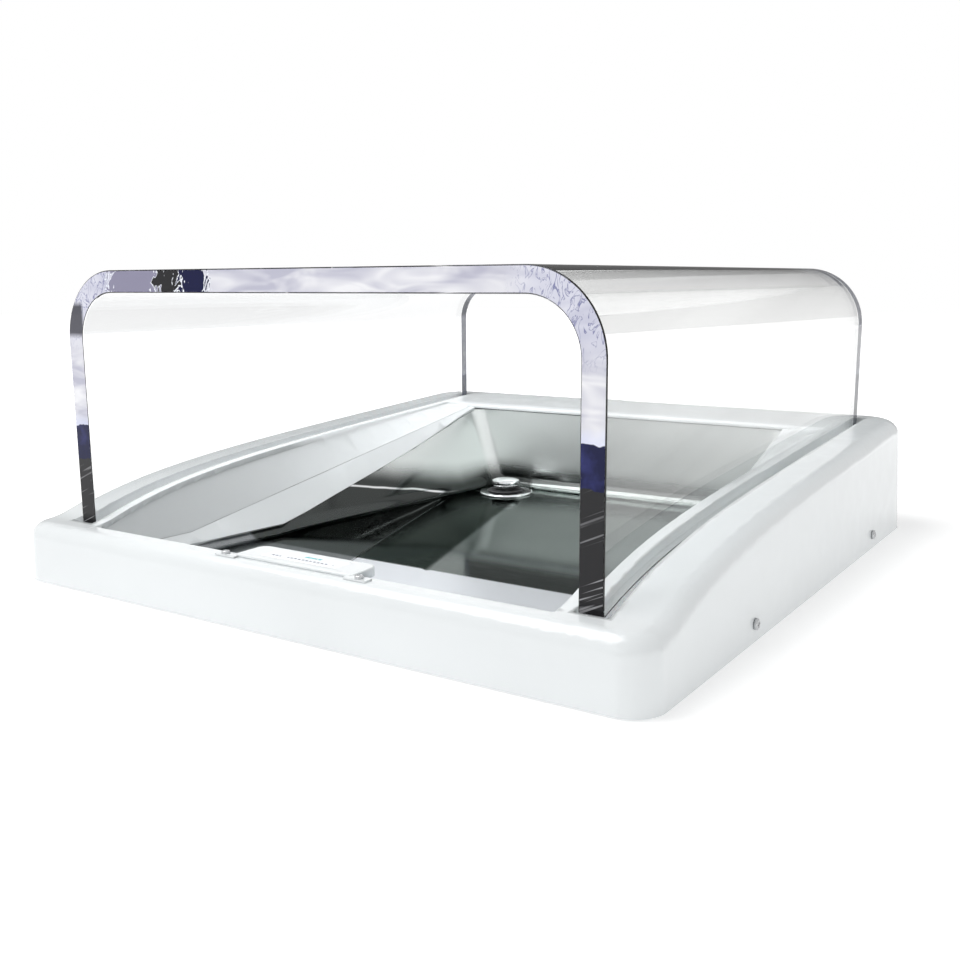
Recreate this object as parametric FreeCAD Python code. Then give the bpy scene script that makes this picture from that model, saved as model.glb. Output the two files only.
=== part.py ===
"""Countertop basin: a moulded surround round a folded steel tray, with a waste and a clear lift-off hood.

Millimetres. +X right, +Y towards the back, +Z up. The origin is under the middle of the object, on the
surface that its feet stand on.
"""

import FreeCAD, Part

import math
import os

from FreeCAD import Vector

# Surround: overall sizes
base_width = 500.0
base_depth = 531.0
shell_wall = 4.0
foot_gap = 1.0            # the surround's lower edge over the surface
side_draft = 0.05         # how far a side leans in for each millimetre of height
front_corner_radius = 20.0
back_corner_radius = 34.0
top_edge_radius = 12.0

# Surround: the rails climb from the front rail towards the back
front_rail_height = 42.5
front_rail_depth = 18.5
back_rail_depth = 81.0
climb_rise = 24.0
climb_length = 70.0
climb_slope = 0.055
climb_setback = 26.0      # where the climb starts, behind the front face
climb_blend = 6.0

# Hood
hood_sheet = 15.0
hood_height = 220.5       # top face over the surface
hood_bend_radius = 48.0   # outside of each bend
hood_side_setback = 39.0  # outside faces inside the surround's sides at their foot
hood_front_setback = 26.5  # front edges behind the front face
hood_back_setback = 30.5  # back edges before the back face

# Grooves that the hood stands in
groove_depth = 12.0
groove_inner_gap = 0.5
groove_outer_gap = 5.0
groove_end_gap = 4.0
groove_wall = 3.0
seat_thickness = 2.5
seat_clearance = 0.3
lip_width = 9.0           # ridge between groove and basin

# Steel tray
tray_sheet = 1.2
floor_height = 10.0
tray_bend_radius = 10.0
tray_corner_radius = 12.0
floor_inset_front = 5.5   # floor's front corners inside the opening's sides
floor_inset_back = 57.5
tray_side_lean = 0.342    # how far a side leans out for each millimetre of height
tray_overhang = 5.5       # the back rail reaches this far over the tray's back wall
tray_front_upstand = 12.0
tray_flange = 9.0
rim_seal_thickness = 1.5

# White inner walls between the rails and the tray
liner_thickness = 3.0
crease_inset_front = 2.5  # fold's front end inside the opening's sides
crease_inset_back = 28.5
crease_height = 54.0      # at the middle of the depth
crease_slope = 0.18
crease_over_floor = 14.0  # at the least
edge_height = 37.0        # at the middle of the depth
edge_slope = 0.24
edge_curl = 1.16e-6
edge_over_floor = 7.0
liner_gap = 0.3
liner_to_steel = 0.8

# Base pan and its feet
pan_sheet = 1.5
pan_flange_height = 18.0
pan_gap = 0.4             # pan flange to surround
foot_diameter = 22.0
foot_height = 3.0
foot_inset = 34.0

# Side screws
side_screw_height = 12.0
side_screw_front = 147.0  # behind the front face
side_screw_back = 115.0   # before the back face
side_screw_diameter = 4.0
side_screw_head = 7.0
side_screw_head_height = 2.2
side_screw_length = 12.0
screw_hole_clearance = 0.25
nut_width = 8.0
nut_thickness = 3.2
thread_clearance = 0.05

# Screws in the feet
foot_screw_diameter = 4.0
foot_screw_head = 8.4
foot_screw_head_height = 1.0
foot_screw_recess = 0.6   # head above the surface
foot_nut_height = 3.0
foot_screw_over = 3.5     # end of the screw over the nut's seat

# Waste
waste_from_side = 34.0    # inside the floor's back left corner
waste_from_back = 38.0    # before the tray's back wall
waste_flange_diameter = 52.0
waste_flange_height = 2.0
waste_bore = 31.0
waste_neck_diameter = 36.0
waste_hole_clearance = 0.4
waste_gasket_thickness = 1.0
waste_cup_diameter = 58.0
waste_cup_bottom = 1.6
waste_cup_wall = 1.4
channel_width = 30.0
spigot_diameter = 20.0
spigot_bore = 15.0
spigot_height = 24.0
spigot_setback = 1.0      # end of the spigot inside the back wall's inner face
riser_depth = 10.0
grommet_gap = 0.2
grommet_wall = 3.0
grommet_sleeve = 9.0      # inside the back wall, over the spigot's end
guide_hub_diameter = 10.0
guide_height = 4.0
spoke_width = 3.0

# Plug
plug_cap_diameter = 27.0
plug_cap_edge = 3.5
plug_cap_dome = 3.0
plug_post_diameter = 9.0
plug_gap = 4.5            # cap over the stopper
stopper_lip = 34.0
stopper_lip_height = 1.3
stopper_clearance = 0.3
stopper_depth = 3.4
plug_seat_clearance = 0.3

# Label tab on the front rail
tab_left = -41.0
tab_right = 54.0
tab_reach = 20.0          # over the tray
tab_on_rail = 6.5
tab_plate = 2.0
tab_skirt = 6.0
tab_corner_radius = 7.0
tab_ear = 14.0
tab_ear_thickness = 1.2
tab_ear_depth = 6.0
label_width = 62.0
label_depth = 16.0
label_thickness = 0.4

# Small screws of the tab, the tray's front and the brackets
small_screw_diameter = 3.0
small_screw_head = 5.6
small_screw_head_height = 1.8
small_screw_length = 9.0
tray_screw_place = 120.0  # to each side of the middle
tray_screw_rise = 8.0     # over the tray's floor

# Brackets behind the tray and pads under it
bracket_sheet = 2.0
bracket_width = 24.0
bracket_foot = 20.0
bracket_place = 60.0      # to each side of the middle
pad_length = 30.0
pad_width = 20.0
pad_places_x = [-100.0, 0.0, 100.0]
pad_places_y = [-170.0, 60.0]

# Worked out
front_face = -base_depth / 2
back_face = base_depth / 2
opening_front = front_face + front_rail_depth
opening_back = back_face - back_rail_depth
climb_start = front_face + climb_setback
hood_front = front_face + hood_front_setback
hood_back = back_face - hood_back_setback
hood_half = base_width / 2 - hood_side_setback
groove_inner = hood_half - hood_sheet - groove_inner_gap
groove_outer = hood_half + groove_outer_gap
groove_front = hood_front - groove_end_gap
groove_back = hood_back + groove_end_gap
opening_half = groove_inner - lip_width
floor_half_front = opening_half - floor_inset_front
floor_half_back = opening_half - floor_inset_back
crease_half_front = opening_half - crease_inset_front
crease_half_back = opening_half - crease_inset_back
tray_back = opening_back + tray_overhang
tray_front = opening_front + liner_gap + tray_sheet
tray_under = floor_height - tray_sheet
pan_level = foot_height
pan_top = pan_level + pan_sheet
waste_x = waste_from_side - floor_half_back
waste_y = tray_back - waste_from_back
side_screw_places = [front_face + side_screw_front, back_face - side_screw_back]


def top_height(y):
    """Height of the rails' top face at a place along the depth."""
    past = y - climb_start
    run = (past + math.hypot(past, climb_blend)) / 2
    return front_rail_height + climb_slope * run + climb_rise * (1 - math.exp(-run / climb_length))


def share(y):
    """0 at the opening's front and 1 at its back."""
    return (y - opening_front) / (opening_back - opening_front)


def crease_point(y):
    """The fold in the white inner wall, as (distance from the middle, height)."""
    half = crease_half_front + (crease_half_back - crease_half_front) * share(y)
    return half, max(crease_height + crease_slope * y, floor_height + crease_over_floor)


def tray_face(y, z):
    """Distance of the tray's inner side from the middle, at a place along the depth and a height."""
    along = (y - tray_front) / (tray_back - tray_front)
    floor_half = floor_half_front + (floor_half_back - floor_half_front) * along
    return floor_half + tray_side_lean * (z - floor_height)


def edge_point(y):
    """The white inner wall's lower edge, where the steel starts, as (distance from the middle, height)."""
    height = max(edge_height + edge_slope * y + edge_curl * y ** 3, floor_height + edge_over_floor)
    height = min(height, crease_point(y)[1] - 0.5)
    return tray_face(y, height) - liner_thickness - liner_to_steel, height


def tray_side_top(y):
    """Top of the tray's side walls, tucked up behind the white wall's lower edge."""
    return edge_point(y)[1] - 0.8 - liner_thickness * share(y) ** 4


def box(x0, x1, y0, y1, z0, z1):
    return Part.makeBox(x1 - x0, y1 - y0, z1 - z0, Vector(x0, y0, z0))


def cylinder(diameter, start, direction, length):
    return Part.makeCylinder(diameter / 2, length, Vector(*start), Vector(*direction))


def prism(points, direction):
    wire = Part.makePolygon([Vector(*p) for p in points + points[:1]])
    return Part.Face(wire).extrude(Vector(*direction))


def mirrored(shape):
    return shape.mirror(Vector(0, 0, 0), Vector(1, 0, 0))


def under_top(drop, x0, x1, bottom):
    """A block over the whole depth, from a flat bottom up to the rails' top line lowered by drop."""
    count = 24
    places = [front_face + base_depth * (i / count) ** 1.6 for i in range(count + 1)]
    curve = Part.BSplineCurve()
    curve.interpolate([Vector(x0, y, top_height(y) - drop) for y in places])
    top = curve.toShape()
    low = [Vector(x0, front_face, bottom), Vector(x0, back_face, bottom)]
    edges = [
        Part.makeLine(low[0], top.Vertexes[0].Point),
        top,
        Part.makeLine(top.Vertexes[-1].Point, low[1]),
        Part.makeLine(low[1], low[0]),
    ]
    return Part.Face(Part.Wire(Part.__sortEdges__(edges))).extrude(Vector(x1 - x0, 0, 0))


def edges_where(shape, test):
    return [edge for edge in shape.Edges if test(edge)]


def upright(edge):
    """True for an edge that stands up, leaning by no more than the tray's sides do."""
    ends = [v.Point for v in edge.Vertexes]
    return len(ends) == 2 and abs(ends[0].z - ends[1].z) > 0.9 * edge.Length


def side_half(inset, z):
    """Distance of the surround's leaning side from the middle at a height, or of its inside at an inset."""
    return base_width / 2 - inset - side_draft * (z - foot_gap)


def cover_body(inset, bottom):
    """The surround's outer form, or the hollow inside it at an inset."""
    half = side_half(inset, bottom)
    body = under_top(inset, -half, half, bottom)
    body = body.common(box(-half, half, front_face + inset, back_face - inset, bottom, hood_height))
    height = top_height(back_face) + 10
    lean = side_draft * (height - bottom)
    sides = prism(
        [
            (-half, front_face, bottom),
            (half, front_face, bottom),
            (half - lean, front_face, height),
            (-half + lean, front_face, height),
        ],
        (0, base_depth, 0),
    )
    body = body.common(sides)
    front = edges_where(body, lambda e: upright(e) and e.CenterOfMass.y < 0)
    body = body.makeFillet(front_corner_radius - inset, front)
    back = edges_where(
        body,
        lambda e: upright(e) and e.CenterOfMass.y > back_face - inset - 1,
    )
    body = body.makeFillet(back_corner_radius - inset, back)
    rim = edges_where(body, lambda e: e.BoundBox.ZMin > front_rail_height - inset - 3)
    return body.makeFillet(top_edge_radius - inset, rim)


def wall_stations():
    """Places along the opening's depth where the inner walls' sections lie."""
    y0, y1, count = opening_front - 1, opening_back + 1, 16
    return [y0 + (y1 - y0) * i / count for i in range(count + 1)]


def strip_loft(upper, lower, thickness):
    """A bent sheet between two lines that run from front to back. Its thickness goes outwards and down."""
    sections = []
    for y in wall_stations():
        (xa, za), (xb, zb) = upper(y), lower(y)
        run, fall = xa - xb, za - zb
        size = math.hypot(run, fall)
        out = (fall / size * thickness, -run / size * thickness)
        corners = [(xa, za), (xb, zb), (xb + out[0], zb + out[1]), (xa + out[0], za + out[1])]
        points = [Vector(x, y, z) for x, z in corners]
        sections.append(Part.makePolygon(points + points[:1]))
    return Part.makeLoft(sections, True, True)


def upper_wall():
    """The surround's own right inner wall, from under the lip down to the fold."""
    half = opening_half + 2.0
    return strip_loft(lambda y: (half, top_height(y) - 1.5), crease_point, shell_wall - 1)


def groove(grow):
    """The space of the right groove, or the block of its walls when grown."""
    y0, y1 = groove_front - grow, groove_back + grow
    x0, x1 = groove_inner - grow, groove_outer + grow
    return box(x0, x1, y0, y1, 0, hood_height).cut(under_top(groove_depth + grow, x0, x1, -20))


def side_screw_axes():
    return [(side, y) for side in (-1, 1) for y in side_screw_places]


def surround_shell():
    outer = cover_body(0, foot_gap)
    shell = outer.cut(cover_body(shell_wall, -10))
    block, space = groove(groove_wall).common(outer), groove(0)
    shell = shell.fuse([block, mirrored(block)])
    shell = shell.cut([space, mirrored(space)])
    shell = shell.cut(box(-opening_half, opening_half, opening_front, opening_back, -10, hood_height))
    front_wall = box(
        -opening_half,
        opening_half,
        opening_front - shell_wall,
        opening_front,
        tray_under,
        front_rail_height - 1,
    )
    wall = upper_wall()
    shell = shell.fuse([front_wall, wall, mirrored(wall)])
    shell = shell.cut(
        box(-opening_half, opening_half, front_face, opening_front, front_rail_height, hood_height)
    )
    hole = side_screw_diameter + 2 * screw_hole_clearance
    for side, y in side_screw_axes():
        shell = shell.cut(cylinder(hole, (side * pan_half(), y, side_screw_height), (side, 0, 0), 60))
    shell = shell.cut(
        cylinder(grommet_hole(), (waste_x, pan_end() - 2, spigot_height), (0, 1, 0), shell_wall + 10)
    )
    for x, z in tray_screw_axes():
        hole = small_screw_diameter + 2 * screw_hole_clearance
        shell = shell.cut(cylinder(hole, (x, tray_front + 1, z), (0, -1, 0), 8))
    for x, y in tab_screw_axes():
        hole = small_screw_diameter + 2 * screw_hole_clearance
        shell = shell.cut(cylinder(hole, (x, y, front_rail_height - 9), (0, 0, 1), 20))
    return shell


def liner():
    """Right lower inner wall, from the fold down to the steel."""
    def top(y):
        half, height = crease_point(y)
        return half, height - liner_gap

    y0, y1 = tray_front + tray_sheet + liner_gap, opening_back - liner_gap
    wall = strip_loft(top, edge_point, liner_thickness).cut(upper_wall())
    return wall.common(box(0, base_width, y0, y1, 0, hood_height))


def tray_form(grow, top):
    """The tray's inner space as a funnel, or its outside when grown by the sheet."""
    y0, y1 = tray_front - grow, tray_back + grow

    def ring(z):
        front, back = (tray_face(y, z) + grow for y in (tray_front, tray_back))
        return [Vector(-front, y0, z), Vector(front, y0, z), Vector(back, y1, z), Vector(-back, y1, z)]

    low = floor_height - grow
    wires = [Part.makePolygon(corners + corners[:1]) for corners in (ring(low), ring(top))]
    form = Part.makeLoft(wires, True, True)
    corners = edges_where(form, lambda e: upright(e) and e.CenterOfMass.y > 0)
    form = form.makeFillet(tray_corner_radius + grow, corners)
    bends = edges_where(form, lambda e: e.BoundBox.ZMax < low + 0.1 and e.CenterOfMass.y > tray_front / 2)
    return form.makeFillet(tray_bend_radius + grow, bends)


def tray_height():
    """Top of the tray's back wall, under the back rail and its seal."""
    return top_height(opening_back) - shell_wall - rim_seal_thickness - 0.1


def steel_tray():
    tall = tray_height()
    tray = tray_form(tray_sheet, tall).cut(tray_form(0, tall + 20))
    reach = floor_half_front + 60
    upstand = floor_height + tray_front_upstand
    upstand_back = tray_front + tray_sheet
    sides = [y for y in wall_stations() if upstand_back < y < opening_back]
    profile = [(tray_front - 20, upstand), (upstand_back, upstand)]
    profile += [(y, tray_side_top(y)) for y in [upstand_back] + sides + [opening_back]]
    profile += [(opening_back, tall + 30), (tray_front - 20, tall + 30)]
    tray = tray.cut(prism([(-reach, y, z) for y, z in profile], (2 * reach, 0, 0)))
    flange = box(
        -floor_half_back,
        floor_half_back,
        tray_back + tray_sheet / 2,
        tray_back + tray_sheet + tray_flange,
        tall - tray_sheet,
        tall,
    )
    tray = tray.fuse(flange)
    hole = waste_neck_diameter + 2 * waste_hole_clearance
    tray = tray.cut(cylinder(hole, (waste_x, waste_y, 0), (0, 0, 1), 40))
    for x, z in tray_screw_axes():
        hole = small_screw_diameter + 2 * screw_hole_clearance
        tray = tray.cut(cylinder(hole, (x, tray_front + 3, z), (0, -1, 0), 8))
    return tray


def rim_seal():
    """Foam strip between the tray's back flange and the back rail's underside."""
    y0, y1 = tray_back + tray_sheet, tray_back + tray_sheet + tray_flange
    return box(-floor_half_back, floor_half_back, y0, y1, tray_height(), tray_height() + rim_seal_thickness)


def tray_screw_axes():
    return [(side * tray_screw_place, floor_height + tray_screw_rise) for side in (-1, 1)]


def pan_head(diameter, head, head_height, length):
    """A screw along -Z whose head is seated at the origin, with a cross recess."""
    top = Part.makeCylinder(head / 2, head_height)
    rim = edges_where(top, lambda e: e.BoundBox.ZMin > head_height - 0.1)
    top = top.makeFillet(head_height * 0.55, rim)
    slot = box(-head * 0.28, head * 0.28, -head * 0.065, head * 0.065, head_height / 2, head)
    cross = slot.copy()
    cross.rotate(Vector(0, 0, 0), Vector(0, 0, 1), 90)
    shank = Part.makeCylinder(diameter / 2, length, Vector(0, 0, -length))
    return top.cut(slot.fuse(cross)).fuse(shank)


def small_screw():
    return pan_head(small_screw_diameter, small_screw_head, small_screw_head_height, small_screw_length)


def placed(shape, axis, angle, place):
    """A copy turned about one axis through the origin, then moved."""
    copy = shape.copy()
    copy.rotate(Vector(0, 0, 0), Vector(*axis), angle)
    return copy.translated(Vector(*place))


def ring_nut(across, height, bore):
    radius = across / math.sqrt(3)
    turns = [math.radians(60 * i) for i in range(6)]
    nut = prism([(radius * math.cos(t), radius * math.sin(t), 0) for t in turns], (0, 0, height))
    return nut.cut(Part.makeCylinder(bore / 2 + thread_clearance, height))


def tray_front_screws():
    return [placed(small_screw(), (1, 0, 0), -90, (x, tray_front, z)) for x, z in tray_screw_axes()]


def tray_front_nuts():
    nut = ring_nut(5.5, 2.4, small_screw_diameter)
    seat = opening_front - shell_wall
    return [placed(nut, (1, 0, 0), 90, (x, seat, z)) for x, z in tray_screw_axes()]


def hood():
    """One sheet bent twice: two walls and a top, open at the front and back."""
    def bent(half, top, radius, y0, y1):
        points = [(-half, y0, -20), (half, y0, -20), (half, y0, top), (-half, y0, top)]
        solid = prism(points, (0, y1 - y0, 0))
        long = y1 - y0 - 1
        bends = edges_where(solid, lambda e: e.BoundBox.ZMin > top - 1 and e.BoundBox.YLength > long)
        return solid.makeFillet(radius, bends)

    outside = bent(hood_half, hood_height, hood_bend_radius, hood_front, hood_back)
    inside = bent(
        hood_half - hood_sheet,
        hood_height - hood_sheet,
        hood_bend_radius - hood_sheet,
        hood_front - 5,
        hood_back + 5,
    )
    drop = groove_depth - seat_thickness - seat_clearance
    below = under_top(drop, -hood_half - 5, hood_half + 5, -40)
    return outside.cut(inside).cut(below)


def hood_seat():
    """Right strip on the groove's floor, under the hood's wall."""
    x0, x1 = groove_inner + 0.2, groove_outer - 0.2
    strip = under_top(groove_depth - seat_thickness, x0, x1, -20)
    strip = strip.common(box(x0, x1, hood_front, hood_back, 0, hood_height))
    return strip.cut(under_top(groove_depth - thread_clearance, x0 - 1, x1 + 1, -30))


def pan_half():
    """Outside of the pan's side flanges, clear of the leaning sides at the flanges' top."""
    return side_half(shell_wall, pan_level + pan_flange_height) - pan_gap


def pan_end():
    return base_depth / 2 - shell_wall - pan_gap


def pan_form(inset, z0, z1):
    half, end = pan_half() - inset, pan_end() - inset
    form = box(-half, half, -end, end, z0, z1)
    for radius, side in ((front_corner_radius, -1), (back_corner_radius, 1)):
        corners = edges_where(form, lambda e: upright(e) and side * e.CenterOfMass.y > end - 1)
        form = form.makeFillet(radius - shell_wall - inset, corners)
    return form


def base_pan():
    pan = pan_form(0, pan_level, pan_level + pan_flange_height)
    pan = pan.cut(pan_form(pan_sheet, pan_top, pan_level + pan_flange_height + 5))
    well = waste_cup_diameter + 6
    slot = channel_width / 2 + 3
    pan = pan.cut(cylinder(well, (waste_x, waste_y, 0), (0, 0, 1), pan_top + 1))
    pan = pan.cut(box(waste_x - slot, waste_x + slot, waste_y, riser_back() + 3, 0, pan_top + 1))
    notch = grommet_hole() / 2 + 2
    pan = pan.cut(
        box(waste_x - notch, waste_x + notch, pan_end() - 6, pan_end() + 6, spigot_height - notch, 60)
    )
    hole = side_screw_diameter + 2 * screw_hole_clearance
    for side, y in side_screw_axes():
        pan = pan.cut(cylinder(hole, (side * pan_half() * 0.9, y, side_screw_height), (side, 0, 0), 60))
    hole = foot_screw_diameter + 2 * screw_hole_clearance
    for x, y in foot_places():
        pan = pan.cut(cylinder(hole, (x, y, 0), (0, 0, 1), pan_top + 1))
    for x, y in bracket_screw_axes():
        pan = pan.cut(cylinder(small_screw_diameter + 0.5, (x, y, 0), (0, 0, 1), pan_top + 1))
    return pan


def foot_places():
    x, y = pan_half() - foot_inset, pan_end() - foot_inset
    return [(-x, -y), (x, -y), (-x, y), (x, y)]


def rubber_feet():
    feet = []
    hole = foot_screw_diameter + 2 * screw_hole_clearance
    recess = foot_screw_recess + foot_screw_head_height
    for x, y in foot_places():
        foot = Part.makeCone(foot_diameter / 2 - 1, foot_diameter / 2, foot_height, Vector(x, y, 0))
        foot = foot.cut(cylinder(hole, (x, y, 0), (0, 0, 1), foot_height))
        feet.append(foot.cut(cylinder(foot_screw_head + 0.6, (x, y, 0), (0, 0, 1), recess)))
    return feet


def foot_screws():
    """Flat heads sunk in the feet."""
    seat = foot_screw_recess + foot_screw_head_height
    end = pan_top + foot_screw_over
    screws = []
    for x, y in foot_places():
        head = cylinder(foot_screw_head, (x, y, foot_screw_recess), (0, 0, 1), foot_screw_head_height)
        screws.append(head.fuse(cylinder(foot_screw_diameter, (x, y, seat), (0, 0, 1), end - seat)))
    return screws


def foot_nuts():
    nut = ring_nut(7.0, foot_nut_height, foot_screw_diameter)
    return [nut.translated(Vector(x, y, pan_top)) for x, y in foot_places()]


def side_seat():
    """Distance of the side screws' seats from the middle."""
    return side_half(0, side_screw_height - side_screw_head / 2)


def side_screws():
    screw = pan_head(side_screw_diameter, side_screw_head, side_screw_head_height, side_screw_length)
    return [
        placed(screw, (0, 1, 0), 90 * side, (side * side_seat(), y, side_screw_height))
        for side, y in side_screw_axes()
    ]


def side_nuts():
    """Square nuts against the inside of the pan's flanges, each round its screw."""
    half = nut_width / 2
    nut = box(-half, half, -half, half, 0, nut_thickness)
    nut = nut.cut(Part.makeCylinder(side_screw_diameter / 2 + thread_clearance, nut_thickness))
    seat = pan_half() - pan_sheet
    return [
        placed(nut, (0, 1, 0), -90 * side, (side * seat, y, side_screw_height))
        for side, y in side_screw_axes()
    ]


def waste_column(diameter, z0, z1):
    """A cylinder on the waste's axis between two heights."""
    return cylinder(diameter, (waste_x, waste_y, z0), (0, 0, 1), z1 - z0)


def waste_neck_bottom():
    return waste_cup_bottom + waste_cup_wall + 1.0


def waste_flange():
    """Round rim on the tray with a neck through it and a cross that keeps things out of the drain."""
    rim = waste_column(waste_flange_diameter, floor_height, floor_height + waste_flange_height)
    top = edges_where(rim, lambda e: e.BoundBox.ZMin > floor_height + 1)
    rim = rim.makeFillet(waste_flange_height * 0.8, top)
    low = waste_neck_bottom()
    body = rim.fuse(waste_column(waste_neck_diameter, low, floor_height))
    body = body.cut(waste_column(waste_bore, 0, 60))
    reach, half = waste_bore / 2 + 0.8, spoke_width / 2
    high = low + guide_height
    spokes = [
        box(waste_x - reach, waste_x + reach, waste_y - half, waste_y + half, low, high),
        box(waste_x - half, waste_x + half, waste_y - reach, waste_y + reach, low, high),
        waste_column(guide_hub_diameter, low, high),
    ]
    return body.fuse(spokes)


def waste_gasket():
    gasket = waste_column(waste_cup_diameter - 4, tray_under - waste_gasket_thickness, tray_under)
    return gasket.cut(waste_column(waste_neck_diameter + 2 * grommet_gap, 0, 60))


def riser_back():
    return tray_back + 26.0


def waste_body():
    """Shallow cup under the tray with a flat channel to the back, which rises to a round spigot."""
    top = tray_under - waste_gasket_thickness
    low = waste_cup_bottom
    half = channel_width / 2
    wall = waste_cup_wall
    riser_front = riser_back() - riser_depth
    riser_top = spigot_height + spigot_diameter / 2
    body = waste_column(waste_cup_diameter, low, top)
    body = body.fuse(
        [
            box(waste_x - half, waste_x + half, waste_y, riser_back(), low, top),
            box(waste_x - half, waste_x + half, riser_front, riser_back(), low, riser_top),
            cylinder(
                spigot_diameter,
                (waste_x, riser_back() - 1, spigot_height),
                (0, 1, 0),
                back_face - shell_wall - spigot_setback - riser_back() + 1,
            ),
        ]
    )
    inner = half - wall
    hollow = waste_column(waste_cup_diameter - 2 * wall, low + wall, top - wall)
    hollow = hollow.fuse(
        [
            box(waste_x - inner, waste_x + inner, waste_y, riser_back() - wall, low + wall, top - wall),
            box(
                waste_x - inner,
                waste_x + inner,
                riser_front + wall,
                riser_back() - wall,
                low + wall,
                riser_top - wall,
            ),
            cylinder(spigot_bore, (waste_x, riser_back() - 5, spigot_height), (0, 1, 0), 80),
            waste_column(waste_neck_diameter + 2 * grommet_gap, low + wall, 20),
        ]
    )
    return body.cut(hollow)


def grommet_hole():
    return spigot_diameter + 2 * grommet_gap + 2 * grommet_wall


def drain_grommet():
    """Rubber ring that fills the hole in the back, with a lip and a sleeve over the spigot's end inside."""
    y0 = back_face - shell_wall
    bore = spigot_diameter + 2 * grommet_gap
    start = y0 - grommet_sleeve
    outer = cylinder(
        grommet_hole() - grommet_gap,
        (waste_x, start, spigot_height),
        (0, 1, 0),
        grommet_sleeve + shell_wall,
    )
    lip = cylinder(grommet_hole() + 3, (waste_x, y0 - 1.5, spigot_height), (0, 1, 0), 1.5)
    return outer.fuse(lip).cut(cylinder(bore, (waste_x, start - 5, spigot_height), (0, 1, 0), 30))


def plug_cap():
    """Domed chrome cap on a short post."""
    seat = floor_height + waste_flange_height + plug_seat_clearance + stopper_lip_height
    edge_top = seat + plug_gap + plug_cap_edge
    cap = waste_column(plug_cap_diameter, seat + plug_gap, edge_top)
    radius = (plug_cap_diameter ** 2 / 4 + plug_cap_dome ** 2) / (2 * plug_cap_dome)
    ball = Part.makeSphere(radius, Vector(waste_x, waste_y, edge_top + plug_cap_dome - radius))
    dome = ball.common(waste_column(plug_cap_diameter, edge_top, edge_top + plug_cap_dome + 1))
    rim = edges_where(cap, lambda e: e.BoundBox.ZMax < seat + plug_gap + 0.1)
    cap = cap.makeFillet(0.8, rim)
    post = waste_column(plug_post_diameter, seat - stopper_depth, seat + plug_gap + 0.5)
    return cap.fuse([dome, post]).removeSplitter()


def plug_stopper():
    """Rubber stopper whose lip rests on the waste's rim."""
    seat = floor_height + waste_flange_height + plug_seat_clearance
    lip = waste_column(stopper_lip, seat, seat + stopper_lip_height)
    body = waste_column(waste_bore - 2 * stopper_clearance, seat - stopper_depth, seat)
    stopper = lip.fuse(body).cut(waste_column(plug_post_diameter, 0, 60))
    floor_bottom = seat - stopper_depth
    floor = waste_column(plug_post_diameter + 1, floor_bottom, floor_bottom + stopper_lip_height)
    return stopper.fuse(floor).removeSplitter()


def tab_body():
    """The tab's outline at the top, with its two far corners rounded."""
    y0, y1 = opening_front - tab_on_rail, opening_front + tab_reach
    top = front_rail_height + tab_plate
    plate = box(tab_left, tab_right, y0, y1, front_rail_height, top)
    skirt = box(tab_left, tab_right, opening_front + liner_gap, y1, top - tab_skirt, top)
    body = plate.fuse(skirt).removeSplitter()
    far = edges_where(body, lambda e: e.CenterOfMass.y > y1 - 1 and e.BoundBox.ZLength > tab_skirt - 1)
    body = body.makeFillet(tab_corner_radius, far)
    rim = edges_where(body, lambda e: e.BoundBox.ZMin > top - 0.1)
    return body.makeFillet(1.2, rim)


def label_tab():
    body = tab_body()
    y = tab_screw_axes()[0][1]
    y0, y1 = y - tab_ear_depth / 2, y + tab_ear_depth / 2
    z0 = front_rail_height
    for x0, x1 in ((tab_left - tab_ear, tab_left + 3), (tab_right - 3, tab_right + tab_ear)):
        body = body.fuse(box(x0, x1, y0, y1, z0, z0 + tab_ear_thickness))
    for x, y in tab_screw_axes():
        hole = small_screw_diameter + 2 * screw_hole_clearance
        body = body.cut(cylinder(hole, (x, y, z0 - 1), (0, 0, 1), 5))
    return body.cut(label_film())


def tab_screw_axes():
    y = opening_front - shell_wall - tab_ear_depth / 2
    return [(tab_left - tab_ear / 2, y), (tab_right + tab_ear / 2, y)]


def tab_screws():
    z = front_rail_height + tab_ear_thickness
    return [small_screw().translated(Vector(x, y, z)) for x, y in tab_screw_axes()]


def label_film():
    """Printed film let into the tab's top."""
    middle_x = (tab_left + tab_right) / 2
    middle_y = opening_front + (tab_reach - tab_on_rail) / 2
    top = front_rail_height + tab_plate
    film = box(
        middle_x - label_width / 2,
        middle_x + label_width / 2,
        middle_y - label_depth / 2,
        middle_y + label_depth / 2,
        top - label_thickness,
        top,
    )
    corners = edges_where(film, lambda e: e.BoundBox.ZLength > label_thickness / 2)
    return film.makeFillet(2.0, corners)


def bracket_places():
    return [-bracket_place, bracket_place]


def bracket_screw_axes():
    y = tray_back + tray_sheet + tray_flange + bracket_foot / 2
    return [(x, y) for x in bracket_places()]


def rear_brackets():
    """Z-shaped brackets from the pan to the underside of the tray's back flange."""
    top = tray_height() - tray_sheet
    y1 = tray_back + tray_sheet + tray_flange
    y0 = tray_back + tray_sheet + liner_gap
    brackets = []
    for x in bracket_places():
        x0, x1 = x - bracket_width / 2, x + bracket_width / 2
        upright_plate = box(x0, x1, y1 - bracket_sheet, y1, pan_top, top)
        shelf = box(x0, x1, y0, y1, top - bracket_sheet, top)
        foot = box(x0, x1, y1 - bracket_sheet, y1 + bracket_foot, pan_top, pan_top + bracket_sheet)
        brackets.append(upright_plate.fuse([shelf, foot]).removeSplitter())
    holes = [
        cylinder(small_screw_diameter + 0.5, (x, y, 0), (0, 0, 1), 12) for x, y in bracket_screw_axes()
    ]
    return [bracket.cut(hole) for bracket, hole in zip(brackets, holes)]


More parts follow.
